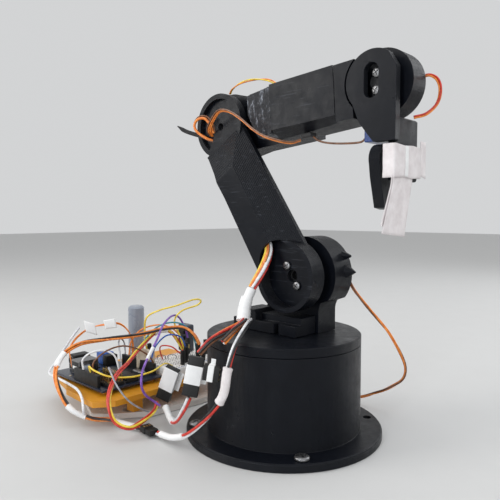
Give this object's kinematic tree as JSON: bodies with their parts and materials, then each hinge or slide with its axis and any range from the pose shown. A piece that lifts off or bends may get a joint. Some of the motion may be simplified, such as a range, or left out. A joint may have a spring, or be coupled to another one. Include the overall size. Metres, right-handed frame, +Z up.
{
  "type": "desktop robot arm",
  "caption": "Desktop robot arm: round base with a turning waist, leaning upper arm, forearm, rolling and pitching wrist and gripper, wired to a controller tray.",
  "frame": {"origin": "centre of the round base's underside, on the waist axis", "axes": "+Z up the waist axis, +X the way the arm reaches, +Y to the arm's left; the hinges run along Y"},
  "size_m": [0.2708, 0.1791, 0.2395],
  "materials": {
    "black_pla": "printed in fine layers, satin",
    "black_matt": "matt",
    "servo_black": "smooth moulded",
    "servo_blue": "smooth moulded, translucent tint",
    "steel": "bright plated",
    "nylon_white": "smooth moulded",
    "paper": "paper and tape, matt",
    "tray_yellow": "satin",
    "sheet_clear": "pale clear sheet",
    "board_dark": "circuit board lacquer",
    "socket_black": "moulded",
    "breadboard_white": "moulded",
    "can_grey": "translucent sleeve",
    "glue_white": "rough",
    "lead_orange": "cable sleeve",
    "lead_red": "cable sleeve",
    "lead_brown": "cable sleeve",
    "lead_white": "cable sleeve",
    "lead_purple": "cable sleeve",
    "lead_yellow": "cable sleeve"
  },
  "bodies": {
    "base": {"base_housing": "black_pla", "flange_screw_1": "steel", "flange_screw_2": "steel", "waist_servo_case": "servo_black", "tray_plate": "tray_yellow", "lower_sheet": "sheet_clear", "controller_board": "board_dark", "barrel_jack": "socket_black", "usb_socket": "steel", "breadboard": "breadboard_white", "capacitor": "can_grey", "sensor_module": "can_grey", "lead_a": "lead_orange", "connector_a": "socket_black", "lead_b": "lead_brown", "connector_b": "socket_black", "lead_a_low": "lead_brown", "lead_low_1": "lead_red", "low_plug": "socket_black", "lead_low_2": "lead_orange", "lead_mid": "lead_red", "connector_c": "socket_black", "lead_arc": "lead_orange", "lead_white": "lead_white", "lead_purple": "lead_purple", "lead_yellow": "lead_yellow"},
    "waist": {"turntable": "black_pla", "waist_bracket": "black_pla", "bracket_block": "black_matt", "shoulder_servo_case": "servo_black", "bundle_wrap": "paper", "shoulder_lead": "lead_brown"},
    "upper_arm": {"upper_arm_link": "black_pla", "shoulder_horn": "black_matt", "elbow_horn": "black_matt", "shoulder_screw_1": "steel", "shoulder_screw_2": "steel", "elbow_tie": "black_matt", "bundle_upper": "lead_orange"},
    "forearm": {"forearm_body": "black_pla", "forearm_patch": "glue_white", "elbow_servo_case": "servo_black", "lead_tie": "nylon_white", "roll_servo": "servo_blue", "elbow_ribbon": "lead_orange", "forearm_lead": "lead_orange", "thin_wire": "lead_brown"},
    "wrist": {"wrist_housing": "black_pla", "pitch_servo": "servo_blue", "wrist_lead": "lead_orange"},
    "hand": {"hand_plate": "black_pla", "pitch_horn": "nylon_white", "pitch_screw_1": "steel", "pitch_screw_2": "steel", "gripper_plate": "black_pla", "gripper_servo": "servo_blue", "paper_wrap": "paper", "paper_strip": "paper"},
    "left_jaw": {"left_jaw": "black_pla"},
    "right_jaw": {"right_jaw": "black_pla"}
  },
  "joints": [
    {"name": "waist_yaw", "type": "hinge", "parent": "base", "child": "waist", "pos_m": [0, 0, 0.0612], "axis": [0, 0, 1], "range_deg": [-90, 90], "deforming": ["lead_a", "lead_b", "lead_low_1", "shoulder_lead"]},
    {"name": "shoulder_pitch", "type": "hinge", "parent": "waist", "child": "upper_arm", "pos_m": [0.011, 0, 0.105], "axis": [0, -1, 0], "range_deg": [-30, 25], "deforming": ["bundle_upper"]},
    {"name": "elbow_pitch", "type": "hinge", "parent": "upper_arm", "child": "forearm", "pos_m": [-0.05527, 0, 0.20743], "axis": [0, -1, 0], "range_deg": [-5, 60], "deforming": ["elbow_ribbon"]},
    {"name": "wrist_roll", "type": "hinge", "parent": "forearm", "child": "wrist", "pos_m": [0.04908, 0, 0.21473], "axis": [0.9976, 0, 0.0698], "range_deg": [-90, 90], "deforming": ["thin_wire"]},
    {"name": "wrist_pitch", "type": "hinge", "parent": "wrist", "child": "hand", "pos_m": [0.07392, 0, 0.21647], "axis": [0, -1, 0], "range_deg": [0, 110], "deforming": ["wrist_lead"]},
    {"name": "left_jaw_swing", "type": "hinge", "parent": "hand", "child": "left_jaw", "pos_m": [0.07392, -0.0075, 0.17447], "axis": [-1, 0, 0], "range_deg": [0, 30]},
    {"name": "right_jaw_swing", "type": "hinge", "parent": "hand", "child": "right_jaw", "pos_m": [0.07392, 0.0095, 0.17447], "axis": [1, 0, 0], "range_deg": [0, 30]}
  ],
  "couplings": [
    {"joint": "right_jaw_swing", "follows": "left_jaw_swing", "ratio": 1}
  ]
}
